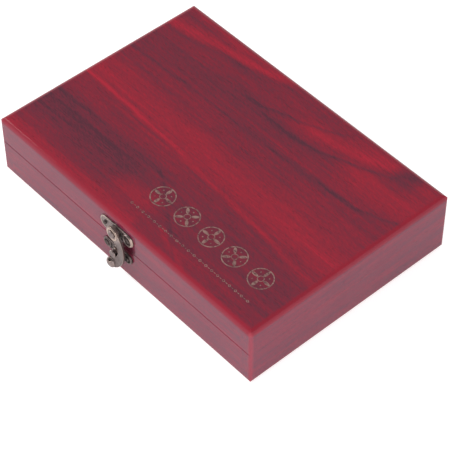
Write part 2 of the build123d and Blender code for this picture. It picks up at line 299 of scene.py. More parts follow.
    def blend(self, share: object, under: object, over: Colour) -> Socket:
        """A colour laid over another.

        Args:
            share: How well it covers, 0 to 1.
            under: The colour that is there, or the node output that gives it.
            over: The colour that goes over it.

        Returns:
            The mixed colour.
        """
        first = (*under, 1) if isinstance(under, tuple) else under
        return self.mix("RGBA", share, first, (*over, 1))

    def ramp(self, value: Socket, stops: Sequence[tuple[float, Colour]]) -> Socket:
        """A value read as a colour.

        Args:
            value: The value, 0 to 1.
            stops: Places and colours, lowest first.

        Returns:
            The colour.
        """
        node = self.add("ValToRGB")
        marks = node.color_ramp.elements
        for mark, (place, colour) in ((marks[0], stops[0]), (marks[1], stops[-1])):
            mark.position = place
            mark.color = (*colour, 1)
        for place, colour in stops[1:-1]:
            marks.new(place).color = (*colour, 1)
        return self.calculate(node, (value,))

    def group(self, tree: NodeTree, **values: object) -> list[Socket]:
        """Place a node group with its inputs by name, and give its outputs in order."""
        return self.wire(self.add("Group", node_tree=tree), **values).outputs[:]

    def bump(self, height: Socket, strength: float, distance: float) -> Socket:
        """A normal raised by a height.

        Args:
            height: The height, 0 to 1.
            strength: How much of it shows.
            distance: How high 1 stands, in metres.

        Returns:
            The normal.
        """
        node = self.wire(self.add("Bump"), Height=height, Strength=strength, Distance=distance)
        return node.outputs["Normal"]


def new_group(name: str, takes: str, gives: str) -> tuple[Graph, list[Socket], Node]:
    """An empty node group with its named sockets.

    Args:
        name: The group's name.
        takes: The names of its inputs. Place is a vector, and the others are numbers.
        gives: The names of its outputs, all numbers.

    Returns:
        The group's graph, its inputs in order, and its output node.
    """
    tree = bpy.data.node_groups.new(name, "ShaderNodeTree")
    for direction, labels in (("INPUT", takes.split()), ("OUTPUT", gives.split())):
        for label in labels:
            kind = "NodeSocketVector" if label == "Place" else "NodeSocketFloat"
            tree.interface.new_socket(label, in_out=direction, socket_type=kind)
    inputs = tree.nodes.new("NodeGroupInput").outputs[: len(takes.split())]
    return Graph(tree), inputs, tree.nodes.new("NodeGroupOutput")


def new_material(name: str) -> tuple[Material, Graph, Node]:
    """A material with its Principled shader.

    Args:
        name: The material's name.

    Returns:
        The material, its graph and the shader node.
    """
    material = bpy.data.materials.new(name)
    material.use_nodes = True
    return material, Graph(material.node_tree), material.node_tree.nodes["Principled BSDF"]


class Effects:
    """The node groups that several finishes share, each built once."""

    def __init__(self) -> None:
        """Build every group."""
        self.streak = self.make_streak()
        self.grain = self.make_grain()
        self.scuffs = self.make_scuffs()
        self.pile = self.make_pile()

    def make_streak(self) -> NodeTree:
        """One streak of wood figure along a parabola.

        Returns:
            The group.
        """
        graph, given, made = new_group(
            "wood_streak", "Place Start End Height Slope Curve Above Below Fade Tone", "Tone"
        )
        place, start, end, height, slope, curve, above, below, fade, tone = given
        x, y, _ = graph.split(place)
        along = graph.math("SUBTRACT", x, start)
        line = graph.math("MULTIPLY_ADD", along, slope, height)
        off = graph.math("SUBTRACT", y, graph.total(line, graph.product(along, along, curve)))
        over = graph.math("DIVIDE", graph.math("MAXIMUM", off, 0.0), above)
        under = graph.math("DIVIDE", graph.math("MINIMUM", off, 0.0), below)
        reach = graph.total(over, under)
        body = graph.math("EXPONENT", graph.product(reach, reach, -1.0))
        begins = graph.math("DIVIDE", along, fade)
        ends = graph.math("DIVIDE", graph.math("SUBTRACT", end, x), fade)
        shown = graph.product(graph.span(begins, -1, 1), graph.span(ends, -1, 1))
        graph.wire(made, Tone=graph.product(body, shown, tone))
        return graph.tree

    def make_grain(self) -> NodeTree:
        """Fibres, a rippled sheen and short open pores along X.

        Returns:
            The group.
        """
        graph, (place,), made = new_group("wood_grain", "Place", "Fibre Ripple Pores")
        coarse = graph.noise(place, (52, 2.0, 2.0), detail=5, roughness=0.64)
        fine = graph.noise(place, (12, 0.8, 0.8), roughness=0.6)
        slanted = graph.turned(place, (0, 0, math.radians(24)))
        dashes = graph.noise(place, (4.2, 0.34, 0.34), detail=1)
        patches = graph.noise(place, (18, 5, 5), detail=1)
        graph.wire(
            made,
            Fibre=graph.total(graph.product(coarse, 0.55), graph.product(fine, 0.45)),
            Ripple=graph.noise(slanted, (3.4, 1.15, 1.15), detail=2),
            Pores=graph.product(graph.span(dashes, 0.6, 0.72), graph.span(patches, 0.38, 0.62)),
        )
        return graph.tree

    def make_scuffs(self) -> NodeTree:
        """Fine rub marks and smudges of handling, for gloss surfaces.

        Returns:
            The group.
        """
        graph, (place, size), made = new_group(
            "handling_scuffs", "Place Size", "Scratches Smudges"
        )
        sized = graph.vector("DIVIDE", place, graph.combine(size, size, size))
        lines = graph.noise(graph.turned(sized, (0.3, 0.2, 0.7)), (9, 0.22, 0.9), detail=1)
        sparse = graph.noise(sized, (11, 8, 9), detail=1)
        graph.wire(
            made,
            Scratches=graph.product(graph.span(lines, 0.64, 0.7), graph.span(sparse, 0.45, 0.6)),
            Smudges=graph.noise(sized, (14, 10, 12), detail=4, roughness=0.6),
        )
        return graph.tree

    def make_pile(self) -> NodeTree:
        """Short fibres of flock or plush, with the places where a hand has brushed them.

        Returns:
            The group.
        """
        graph, (place, length), made = new_group("fibre_pile", "Place Length", "Fibres Brushed")
        sized = graph.vector("DIVIDE", place, graph.combine(length, length, length))
        swept = graph.noise(place, (26, 17, 20), roughness=0.6)
        graph.wire(
            made,
            Fibres=graph.noise(sized, (0.5, 0.5, 0.5), detail=2, roughness=0.7),
            Brushed=graph.span(swept, 0.35, 0.65),
        )
        return graph.tree


# ------------------------------------------------------------------- finishes


@dataclass(frozen=True)
class Streak:
    """One streak of the lid's figure, in millimetres: a parabola along X that is lighter or darker.

    height, slope and curve give its line from start; above and below are how far it spreads to each
    side; fade is how softly its ends run out; tone is how much lighter (or darker, below 0) it is.
    """

    start: float
    end: float
    height: float
    slope: float
    curve: float
    above: float
    below: float
    tone: float
    fade: float = 12.0


@dataclass(frozen=True)
class Rosewood:
    """Red lacquer over flat-sawn rosewood veneer, wrapped over every board.

    The contrasts are how far each layer of the wood swings its tone. The shares are how well each
    colour that is laid over the wood covers it: pore_shares on the boards and at their edges. coat
    and roughness run from clean to smudged and from dark to light fibres, and relief is the
    strength and height of the bumps. sideways and levels are parts of a surface's normal.
    """

    darkest: Colour = painted(88, 46, 59)
    dark: Colour = painted(110, 46, 61)
    middle: Colour = painted(129, 42, 58)
    bright: Colour = painted(152, 40, 56)
    brightest: Colour = painted(172, 40, 58)
    # Painted highlights: a brighter red over the rounded level edges, and a paler pinkish line down
    # the upright corners.
    edge: Colour = painted(150, 34, 51)
    corner: Colour = painted(186, 70, 86)
    pore: Colour = painted(62, 30, 40)
    # Painted shadow: a dark red patch on the wood to the right of and below the catch.
    grime: Colour = painted(48, 16, 22)
    # Painted reflection: a mauve tint on the upright faces that stands in for the pale floor
    # mirrored in the lacquer.
    side_tint: Colour = painted(126, 56, 98)
    base_tone: float = 0.4
    board_tones: Pair = (-0.4, 0.5)
    figure_contrast: float = 0.85
    vein_contrast: float = 0.5
    fibre_contrast: float = 1.2
    ripple_contrast: float = 0.55
    side_share: float = 0.22
    edge_share: float = 0.75
    corner_share: float = 0.45
    pore_shares: Pair = (0.5, 0.2)
    grime_share: float = 0.7
    coat: Pair = (0.58, 0.7)
    roughness: Pair = (0.4, 0.6)
    relief: Pair = (0.25, 0.00008)
    lid_panel_bottom: float = 39.9
    inside_half_length: float = 104.4
    sideways: float = 0.7
    levels: Pair = (0.6, 0.8)
    edge_width: float = 3.3
    corner_width: float = 1.9
    grime_from_rivet: Triple = (6.5, 0.0, -8.5)
    grime_reach: Triple = (10.0, 0.6, 8.5)
    figure: tuple[Streak, ...] = (
        Streak(-130, -14, 55, 0.02, 0.0013, 4.5, 3.0, 0.5),
        Streak(-130, -12, 50.6, 0.02, 0.0013, 1.0, 1.8, -0.12),
        Streak(-130, -55, 73.5, -0.02, 0.0, 3.5, 2.5, 0.26),
        Streak(-72, -30, 70, 0.1, 0.001, 2.0, 2.0, 0.2),
        Streak(-170, 30, 35, 0.0, 0.0, 17.0, 18.0, -0.08, 30),
        Streak(50, 150, 14, 0.0, 0.0, 13.0, 13.0, 0.13, 16),
        Streak(-150, 60, 23.5, 0.01, 0.0, 1.0, 1.6, -0.16),
        Streak(-90, 10, 42.5, 0.03, 0.0, 0.8, 1.2, -0.1),
        Streak(-30, 40, 46, 0.0, 0.0046, 0.9, 1.8, -0.3, 8),
        Streak(-10, 78, 43, -0.12, 0.0038, 1.0, 2.2, -0.34, 8),
        Streak(14, 80, 53, 0.1, 0.0025, 8.0, 4.0, 0.5, 14),
        Streak(58, 150, 47, 0.05, 0.0, 8.0, 9.0, 0.4, 14),
        Streak(50, 150, 30.5, -0.22, 0.0062, 1.2, 2.2, -0.3, 8),
        Streak(79, 95, 70, 0.0, 0.0, 9.0, 9.0, -0.34, 4),
        Streak(95, 150, 66, 0.0, 0.0, 12.0, 10.0, 0.2, 8),
        Streak(20, 150, 20, 0.02, 0.0, 1.0, 1.4, -0.14),
        Streak(-170, 170, -2, -0.025, 0.0, 12.0, 13.0, 0.38, 20),
        Streak(-150, 150, -11.8, 0.0, -0.00025, 1.6, 1.3, 0.24),
        Streak(-150, -25, -11.8, 0.0, -0.00025, 1.7, 1.4, 0.3, 20),
        Streak(-150, 150, -15.4, 0.0, -0.00025, 0.8, 1.1, -0.14),
        Streak(-170, -18, -45, 0.0, 0.0, 13.0, 15.0, -0.32, 16),
        Streak(-150, 0, -33.5, 0.0, -0.00012, 1.0, 2.0, -0.25),
        Streak(-26, 7, -57, 0.0, 0.0, 8.0, 8.0, 0.3, 8),
        Streak(-150, 7, -73, 0.0, 0.0, 4.0, 3.5, 0.36, 3),
        Streak(20, 52, -62.5, -0.42, 0.0, 2.2, 2.2, 0.3, 6),
        Streak(-15, 52, -34, -0.55, -0.0025, 1.2, 1.8, -0.2, 6),
        Streak(82, 150, -50, 0.0, 0.0, 16.0, 16.0, -0.16, 10),
        Streak(-10, 84, -44, 0.0, 0.0, 16.0, 18.0, -0.12, 20),
    )

    def tone(self, graph: Graph, place: Socket, effects: Effects) -> Socket:
        """How light the lid's figure is at a point.

        Args:
            graph: The material's graph.
            place: The point in millimetres.
            effects: The shared node groups.

        Returns:
            The sum of the streaks.
        """
        wander = graph.swing(graph.noise(place, (38, 14, 14)), 7.0)
        warped = graph.vector("ADD", place, graph.combine(0.0, wander, 0.0))
        tones = []
        for streak in self.figure:
            numbers = {name.capitalize(): value for name, value in vars(streak).items()}
            tones += graph.group(effects.streak, Place=warped, **numbers)
        return graph.total(*tones)

    def lie(self, graph: Graph, place: Socket) -> tuple[Socket, Socket, Socket]:
        """How the boards lie: along the case, or across it at its ends below the lid's panel.

        Args:
            graph: The material's graph.
            place: The point in millimetres.

        Returns:
            Coordinates with X along the board, how level the surface is, and the lid top's mask.
        """
        facing = graph.vector("ABSOLUTE", graph.add("TexCoord").outputs["Normal"])
        side, _, up = graph.split(facing)
        across, _, height = graph.split(place)
        below_lid = graph.math("LESS_THAN", height, self.lid_panel_bottom)
        off_middle = graph.math("ABSOLUTE", across)
        beside = graph.math("GREATER_THAN", off_middle, self.inside_half_length)
        sideways = graph.math("GREATER_THAN", side, self.sideways)
        on_end = graph.math("MAXIMUM", sideways, graph.product(below_lid, beside))
        along = graph.mix("VECTOR", on_end, place, graph.turned(place, (0, 0, math.pi / 2)))
        level = graph.span(up, *self.levels)
        return along, level, graph.product(level, graph.inverse(below_lid))

    def material(self, effects: Effects, low: Vector, high: Vector) -> Material:
        """The lacquer for every board.

        Args:
            effects: The shared node groups.
            low: The closed case's lowest corner, in metres.
            high: Its highest corner.

        Returns:
            The material.
        """
        material, graph, shader = new_material("rosewood_lacquer")
        place = graph.place()
        along, level, on_top = self.lie(graph, place)
        fibre, ripple, pores = graph.group(effects.grain, Place=along)
        boards = graph.ranged(graph.noise(along, (90, 7, 7)), *self.board_tones)
        veins = graph.swing(graph.noise(along, (110, 5.5, 5.5), roughness=0.6), self.vein_contrast)
        figure = graph.product(self.tone(graph, place, effects), self.figure_contrast)
        tone = graph.total(
            graph.mix("FLOAT", on_top, boards, graph.total(figure, veins)), self.base_tone,
            graph.swing(fibre, self.fibre_contrast), graph.swing(ripple, self.ripple_contrast),
        )
        stops = (
            (0.0, self.darkest), (0.22, self.dark), (0.45, self.middle), (0.75, self.bright),
            (1.0, self.brightest),
        )
        edge, corner = self.edge_bands(graph, place, low, high)
        colour = graph.ramp(tone, stops)
        for share, over in (
            # A painted reflection of the pale floor on the upright faces.
            (graph.product(graph.inverse(level), self.side_share), self.side_tint),
            # Painted highlights on the rounded edges and the upright corners.
            (graph.product(edge, self.edge_share), self.edge),
            (graph.product(corner, self.corner_share), self.corner),
            (graph.product(pores, graph.ranged(edge, *self.pore_shares)), self.pore),
            # A painted shadow beside the catch.
            (self.grimy(graph, place), self.grime),
        ):
            colour = graph.blend(share, colour, over)
        _, smudges = graph.group(effects.scuffs, Place=place, Size=1.6)
        graph.wire(
            shader, Base_Color=colour, Coat_Weight=graph.ranged(smudges, *self.coat),
            Roughness=graph.ranged(fibre, *self.roughness),
            Normal=graph.bump(graph.math("SUBTRACT", fibre, pores), *self.relief),
            Specular_IOR_Level=0.0, Coat_Roughness=0.14, Coat_IOR=1.5,
        )
        return material

    def grimy(self, graph: Graph, place: Socket) -> Socket:
        """A painted shadow: a soft dark patch on the wood beside the catch, to its right and below.

        Args:
            graph: The material's graph.
            place: The point in millimetres.

        Returns:
            The painted shadow's mask.
        """
        catch = middle_of("hook_rivet")
        catch.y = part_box("lid_front_wall")[0].y
        middle = catch / MILLIMETRE + Vector(self.grime_from_rivet)
        off = graph.vector("SUBTRACT", place, tuple(middle))
        far = graph.add("VectorMath", operation="LENGTH")
        graph.feed(far.inputs[0], graph.vector("DIVIDE", off, self.grime_reach))
        ragged = graph.swing(graph.noise(place, (3, 3, 3)), 0.6)
        distance = graph.total(far.outputs["Value"], ragged)
        return graph.span(distance, 1.1, 0.5, 0.0, self.grime_share)

    def edge_bands(
        self, graph: Graph, place: Socket, low: Vector, high: Vector
    ) -> tuple[Socket, Socket]:
        """Painted highlights over the case's rounded edges: brighter bands along the level edges and
        paler lines down the upright corners.

        Args:
            graph: The material's graph.
            place: The point in millimetres.
            low: The case's lowest corner, in metres.
            high: Its highest corner.

        Returns:
            The masks of the level edges and of the upright corners.
        """
        middle, half = (low + high) / 2 / MILLIMETRE, (high - low) / 2 / MILLIMETRE
        away = graph.vector("ABSOLUTE", graph.vector("SUBTRACT", place, tuple(middle)))
        inside = graph.vector("SUBTRACT", tuple(half), away)
        wobble = graph.swing(graph.noise(place, (9, 9, 9)), 0.9)
        depths = [graph.total(depth, wobble) for depth in graph.split(inside)]

        def near(depth: Socket, width: float) -> Socket:
            """1 within a width of an outer face, and softly down to 0 further in."""
            return graph.span(depth, width + 1.0, width - 1.2)

        end, face, rim = (near(depth, self.edge_width) for depth in depths)
        level = graph.product(graph.math("MAXIMUM", end, face), rim)
        upright = graph.product(*(near(depth, self.corner_width) for depth in depths[:2]))
        return level, upright


@dataclass(frozen=True)
class AntiqueBronze:
    """Cast and plated metal, dark in its hollows and rubbed to pale brass on its rims.

    metallic and roughness run from the hollows to the rims.
    """

    name: str = "antique_bronze"
    hollow: Colour = painted(24, 18, 18)
    patina: Colour = painted(82, 72, 70)
    plate: Colour = painted(132, 118, 116)
    rubbed: Colour = painted(212, 186, 166)
    darkness: float = 0.0
    cloud_contrast: float = 0.34
    fine_contrast: float = 0.16
    scratch_share: float = 0.3
    metallic: Pair = (0.55, 1.0)
    roughness: Pair = (0.62, 0.3)
    relief: Pair = (0.35, 0.00012)

    def material(self, effects: Effects) -> Material:
        """The metal's finish.

        Args:
            effects: The shared node groups.

        Returns:
            The material.
        """
        material, graph, shader = new_material(self.name)
        place = graph.place()
        wear = graph.add("Attribute", attribute_name="wear").outputs["Fac"]
        cloud = graph.noise(place, (2.6, 2.6, 2.6), detail=4, roughness=0.65)
        fine = graph.noise(place, (0.42, 0.42, 0.42))
        level = graph.total(
            wear, graph.swing(cloud, self.cloud_contrast), graph.swing(fine, self.fine_contrast),
            -self.darkness,
        )
        stops = ((0.12, self.hollow), (0.36, self.patina), (0.6, self.plate), (0.95, self.rubbed))
        scratches, _ = graph.group(effects.scuffs, Place=place, Size=0.22)
        share = graph.product(scratches, self.scratch_share)
        graph.wire(
            shader, Base_Color=graph.blend(share, graph.ramp(level, stops), self.rubbed),
            Metallic=graph.span(level, 0.1, 0.4, *self.metallic),
            Roughness=graph.span(level, 0.2, 0.85, *self.roughness),
            Normal=graph.bump(graph.total(fine, cloud), *self.relief),
        )
        return material


@dataclass(frozen=True)
class Flock:
    """Dark red flock or plush: short fibres with a soft sheen where they are brushed."""

    name: str
    deep: Colour
    lit: Colour
    fibre: float
    brushed_share: float = 0.55
    roughness: Pair = (0.85, 0.95)
    relief: Pair = (0.6, 0.00025)

    def material(self, effects: Effects) -> Material:
        """The cloth's finish.

        Args:
            effects: The shared node groups.

        Returns:
            The material.
        """
        material, graph, shader = new_material(self.name)
        fibres, brushed = graph.group(effects.pile, Place=graph.place(), Length=self.fibre)
        swept = graph.blend(graph.product(brushed, self.brushed_share), self.deep, self.lit)
        graph.wire(
            shader, Base_Color=graph.blend(graph.span(fibres, 0.3, 0.75), swept, self.lit),
            Roughness=graph.ranged(fibres, *self.roughness),
            Normal=graph.bump(fibres, *self.relief),
            Specular_IOR_Level=0.15, Sheen_Weight=0.35, Sheen_Roughness=0.4,
            Sheen_Tint=(*self.lit, 1),
        )
        return material


@dataclass(frozen=True)
class ClearPlastic:
    """Clear moulded polystyrene, faintly milky, with a few rub marks.

    body is how solid it looks face on and at its rims, haze is its roughness where it is clean and
    where it is scratched, and shade is how much of its shadow falls.
    """

    tint: Colour = (0.93, 0.935, 0.94)
    body: Pair = (0.1, 0.8)
    scratched_body: float = 0.12
    haze: Pair = (0.05, 0.33)
    smudged_haze: float = 0.1
    shade: float = 0.2

    def material(self, effects: Effects) -> Material:
        """The plastic's finish.

        Args:
            effects: The shared node groups.

        Returns:
            The material.
        """
        material, graph, shader = new_material("clear_plastic")
        scratches, smudges = graph.group(effects.scuffs, Place=graph.place(), Size=0.8)
        hazy = graph.total(
            graph.ranged(scratches, *self.haze),
            graph.span(smudges, 0.5, 0.8, 0.0, self.smudged_haze),
        )
        facing = graph.wire(graph.add("LayerWeight"), Blend=0.3).outputs["Facing"]
        body = graph.total(
            graph.span(facing, 0.15, 0.9, *self.body),
            graph.product(scratches, self.scratched_body),
        )
        in_shadow = graph.add("LightPath").outputs["Is Shadow Ray"]
        graph.wire(
            shader, Alpha=graph.product(body, graph.ranged(in_shadow, 1.0, self.shade)),
            Roughness=hazy, Base_Color=(*self.tint, 1), Transmission_Weight=0.75, IOR=1.5,
        )
        return material


@dataclass(frozen=True)
class WornFoil:
    """Pale gold foil pressed into the lacquer and rubbed half away."""

    full: Colour = painted(176, 140, 130)
    rubbed: Colour = painted(138, 92, 92)
    kept: Pair = (0.4, 0.9)
    roughness: Pair = (0.3, 0.6)
    relief: Pair = (0.3, 0.00005)

    def material(self, effects: Effects) -> Material:
        """The foil's finish.

        Args:
            effects: The shared node groups.

        Returns:
            The material.
        """
        material, graph, shader = new_material("worn_foil")
        place = graph.place()
        fibre, _, _ = graph.group(effects.grain, Place=place)
        patchy = graph.noise(place, (3.2, 1.6, 1.6), detail=4, roughness=0.7)
        left = graph.mix("FLOAT", 0.5, fibre, patchy)
        graph.wire(
            shader, Base_Color=graph.blend(graph.span(patchy, 0.35, 0.65), self.rubbed, self.full),
            Alpha=graph.span(left, 0.3, 0.55, *self.kept),
            Roughness=graph.ranged(patchy, *self.roughness),
            Normal=graph.bump(patchy, *self.relief),
            Metallic=0.35, Coat_Weight=0.62, Coat_Roughness=0.14, Coat_IOR=1.5,
        )
        return material


# --------------------------------------------------------------------- studio


@dataclass(frozen=True)
class Lamp:
    """A soft square lamp that points at the case."""

    name: str
    place: Triple
    size: float
    power: float

    def hang(self) -> None:
        """Hang it in the scene."""
        light = bpy.data.lights.new(self.name, "AREA")
        light.size, light.energy = self.size, self.power
        hung = bpy.data.objects.new(self.name, light)
        facing = Vector(self.place).to_track_quat("Z", "Y").to_matrix().to_4x4()
        hung.matrix_world = Matrix.Translation(self.place) @ facing
        bpy.context.scene.collection.objects.link(hung)


@dataclass(frozen=True)
class Studio:
    """The camera, the pale floor and the plain soft light."""

    lens: float = 146.41
    place: Triple = (0.591076, -0.517721, 0.855026)
    right: Triple = (0.666946953, 0.745105115, 0.000360185)
    upward: Triple = (-0.556163718, 0.497502848, 0.665712276)
    backward: Triple = (0.495846429, -0.444195096, 0.746208440)
    floor_size: float = 6.0
    floor_colour: Colour = (0.8, 0.8, 0.8)
    floor_glow: float = 0.58
    sky_light: float = 0.62
    horizon: float = 0.35
    ceiling_starts: float = 0.6
    ceiling: float = 0.24
    lamps: tuple[Lamp, ...] = (
        Lamp("key_lamp", (-2.4, -1.12, 1.5), 1.2, 46.0),
        Lamp("fill_lamp", (1.5, -0.9, 0.8), 1.2, 15.0),
    )

    def build(self) -> None:
        """Set up everything that isn't the case."""
        self.set_camera()
        self.lay_floor()
        self.light_sky()
        for lamp in self.lamps:
            lamp.hang()
        bpy.context.scene.view_settings.view_transform = "Standard"

    def set_camera(self) -> None:
        """Stand the camera at the front right, looking down."""
        camera = bpy.data.objects.new("camera", bpy.data.cameras.new("camera"))
        camera.data.lens = self.lens
        turn = Matrix((self.right, self.upward, self.backward)).transposed().to_4x4()
        camera.matrix_world = Matrix.Translation(self.place) @ turn
        bpy.context.scene.collection.objects.link(camera)
        bpy.context.scene.camera = camera

    def mirrored(self, graph: Graph, path: Node) -> Socket:
        """1 for what is seen in gloss or through something clear."""
        rays = path.outputs["Is Glossy Ray"], path.outputs["Is Transmission Ray"]
        return graph.math("MAXIMUM", *rays)

    def lay_floor(self) -> None:
        """A pale floor that shows white and keeps the case's shadow."""
        bpy.ops.mesh.primitive_plane_add(size=self.floor_size)
        floor = bpy.context.active_object
        floor.name = "floor"
        material, graph, shader = new_material("pale_floor")
        graph.tree.nodes.remove(shader)
        path = graph.add("LightPath")
        seen = graph.math("MAXIMUM", path.outputs["Is Camera Ray"], self.mirrored(graph, path))
        glow = graph.wire(graph.add("Emission"), Strength=graph.product(seen, self.floor_glow))
        matt = graph.wire(graph.add("BsdfDiffuse"), Color=(*self.floor_colour, 1))
        both = graph.calculate(graph.add("AddShader"), (matt.outputs[0], glow.outputs[0]))
        graph.wire(graph.tree.nodes["Material Output"], Surface=both)
        floor.data.materials.append(material)

    def light_sky(self) -> None:
        """White round the horizon, with a dimmer ceiling in reflections and a soft even light."""
        world = bpy.data.worlds.new("studio")
        world.use_nodes = True
        bpy.context.scene.world = world
        graph = Graph(world.node_tree)
        _, _, height = graph.split(graph.add("TexCoord").outputs["Generated"])
        walls = graph.span(height, self.horizon, self.ceiling_starts, 1.0, self.ceiling)
        path = graph.add("LightPath")
        light = graph.mix("FLOAT", self.mirrored(graph, path), self.sky_light, walls)
        strength = graph.math("MAXIMUM", light, path.outputs["Is Camera Ray"])
        graph.wire(world.node_tree.nodes["Background"], Color=(1, 1, 1, 1), Strength=strength)


# ---------------------------------------------------------------------- bench


def middle_of(node: str) -> Vector:
    """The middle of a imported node's box."""
    low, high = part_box(node)
    return (low + high) / 2


def size_of(node: str) -> Vector:
    """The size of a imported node's box."""
    low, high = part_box(node)
    return high - low


def take(*pieces: Piece) -> None:
    """Select only these pieces, with the first one active.

    Args:
        pieces: The pieces.
    """
    bpy.ops.object.select_all(action="DESELECT")
    for piece in pieces:
        piece.select_set(True)
    bpy.context.view_layer.objects.active = pieces[0]


@contextmanager
def on_bench(piece: Piece, kind: str = "FACE") -> Iterator[None]:
    """Edit a piece with nothing selected at first.

    Args:
        piece: The piece to work on.
        kind: What is picked in it: FACE, EDGE or VERT.
    """
    take(piece)
    bpy.ops.object.mode_set(mode="EDIT")
    bpy.ops.mesh.select_mode(type=kind)
    bpy.ops.mesh.select_all(action="DESELECT")
    yield
    bpy.ops.object.mode_set(mode="OBJECT")


def pick_facing(piece: Piece, axis: Vector, distance: float) -> None:
    """Select the faces that look straight along an axis at a distance along it, and no others.

    Args:
        piece: The piece that is being edited.
        axis: The way that the faces look.
        distance: How far along the axis they lie.
    """
    mesh = bmesh.from_edit_mesh(piece.data)
    for part in mesh.faces:
        level = abs(part.calc_center_median().dot(axis) - distance) < HAIR
        part.select_set(level and part.normal.dot(axis) > SQUARE_ON)
    mesh.select_flush_mode()
    bmesh.update_edit_mesh(piece.data)


def draw_out(disc: Piece, middle: Vector, way: Vector) -> None:
    """Draw a disc out into a slot, by moving the half of it that lies along the way.

    Args:
        disc: The disc.
        middle: Its middle.
        way: How far that half is moved.
    """
    with on_bench(disc, "VERT"):
        mesh = bmesh.from_edit_mesh(disc.data)
        for corner in mesh.verts:
            corner.select_set((corner.co - middle).dot(way.normalized()) > HAIR)
        mesh.select_flush_mode()
        bmesh.update_edit_mesh(disc.data)
        bpy.ops.transform.translate(value=way)


def finish_with(piece: Piece, kind: str, **settings: object) -> None:
    """Add a modifier and apply it.

    Args:
        piece: The piece.
        kind: The modifier's type.
        settings: Its settings.
    """
    take(piece)
    modifier = piece.modifiers.new(kind.lower(), kind)
    for name, value in settings.items():
        setattr(modifier, name, value)
    bpy.ops.object.modifier_apply(modifier=modifier.name)


def carve(piece: Piece, other: Piece, operation: str = "DIFFERENCE") -> None:
    """Cut a piece with another, or fuse the two, and use the other up."""
    finish_with(piece, "BOOLEAN", operation=operation, object=other, solver="EXACT")
    bpy.data.objects.remove(other)


def settle(piece: Piece, name: str) -> Piece:
    """Move a piece's place into its mesh and name it.

    Args:
        piece: The piece.
        name: Its name.

    Returns:
        The piece.
    """
    take(piece)
    bpy.ops.object.transform_apply(location=True, rotation=True, scale=True)
    piece.name = piece.data.name = name
    return piece


def join(pieces: Sequence[Piece]) -> Piece:
    """Join pieces into the first of them.

    Args:
        pieces: The pieces.

    Returns:
        The joined piece.
    """
    take(*pieces)
    bpy.ops.object.join()
    return bpy.context.active_object


def repeat(piece: Piece, moves: Sequence[Matrix]) -> Piece:
    """Copy a piece to several places, each copy with its own mesh, and join the copies.

    Args:
        piece: The piece, which is used up.
        moves: How each copy is moved.

    Returns:
        The joined copies.
    """
    copies = []
    for move in moves:
        copy = piece.copy()
        copy.data = piece.data.copy()
        copy.data.transform(move)
        bpy.context.scene.collection.objects.link(copy)
        copies.append(copy)
    bpy.data.objects.remove(piece)
    return join(copies)


def block(low: Vector, high: Vector, name: str) -> Piece:
    """A block between two corners, ready to be worked on.

    Args:
        low: Its lowest corner.
        high: Its highest corner.
        name: Its name.

    Returns:
        The block.
    """
    bpy.ops.mesh.primitive_cube_add(size=1, location=(low + high) / 2, scale=high - low)
    return settle(bpy.context.active_object, name)


def turned_disc(
    centre: Vector, radius: float, depth: float, sides: int = 64, axis: Vector = FRONT
) -> Piece:
    """A disc that starts at a point and stands out along an axis.

    Args:
        centre: The middle of its back.
        radius: Its radius.
        depth: How far it stands out.
        sides: How many sides it has.
        axis: The way that it faces.

    Returns:
        The disc.
    """
    bpy.ops.mesh.primitive_cylinder_add(
        vertices=sides, radius=radius, depth=depth, location=centre + axis * depth / 2,
        rotation=axis.to_track_quat("Z", "Y").to_euler(),
    )
    return settle(bpy.context.active_object, "disc")


def bead_ring(centre: Vector, radius: float, bead: float, axis: Vector = FRONT) -> Piece:
    """A round bead laid in a ring.

    Args:
        centre: The ring's centre.
        radius: The ring's radius, to the middle of the bead.
        bead: The bead's radius.
        axis: The way that the ring faces.

    Returns:
        The ring.
    """
    bpy.ops.mesh.primitive_torus_add(
        location=centre, rotation=axis.to_track_quat("Z", "Y").to_euler(), major_segments=72,
        minor_segments=16, major_radius=radius, minor_radius=bead,
    )
    return settle(bpy.context.active_object, "bead")


def ball(place: Vector, half_widths: Triple) -> Piece:
    """A ball squeezed along the axes.

    Args:
        place: Its middle.
        half_widths: How far it reaches along X, Y and Z.

    Returns:
        The ball.
    """
    bpy.ops.mesh.primitive_uv_sphere_add(segments=48, ring_count=24, radius=1, location=place)
    squeezed = bpy.context.active_object
    with on_bench(squeezed, "VERT"):
        bpy.ops.mesh.select_all(action="SELECT")
        bpy.ops.transform.resize(value=half_widths, center_override=place)
    return settle(squeezed, "ball")


def traced(node: str, name: str) -> Piece:
    """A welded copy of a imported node's shape, ready to be worked on.

    Args:
        node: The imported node.
        name: The copy's name.

    Returns:
        The copy, with its flat faces whole again.
    """
    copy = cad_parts[node].copy()
    copy.data = copy.data.copy()
    copy.parent = None
    copy.animation_data_clear()
    for key in list(copy.keys()):
        del copy[key]
    bpy.context.scene.collection.objects.link(copy)
    copy.name = copy.data.name = name
    copy.data.materials.clear()
    with on_bench(copy, "VERT"):
        bpy.ops.mesh.select_all(action="SELECT")
        bpy.ops.mesh.remove_doubles(threshold=0.000004)
        bpy.ops.mesh.customdata_custom_splitnormals_clear()
        bpy.ops.mesh.dissolve_limited(angle_limit=math.radians(0.5))
    return copy


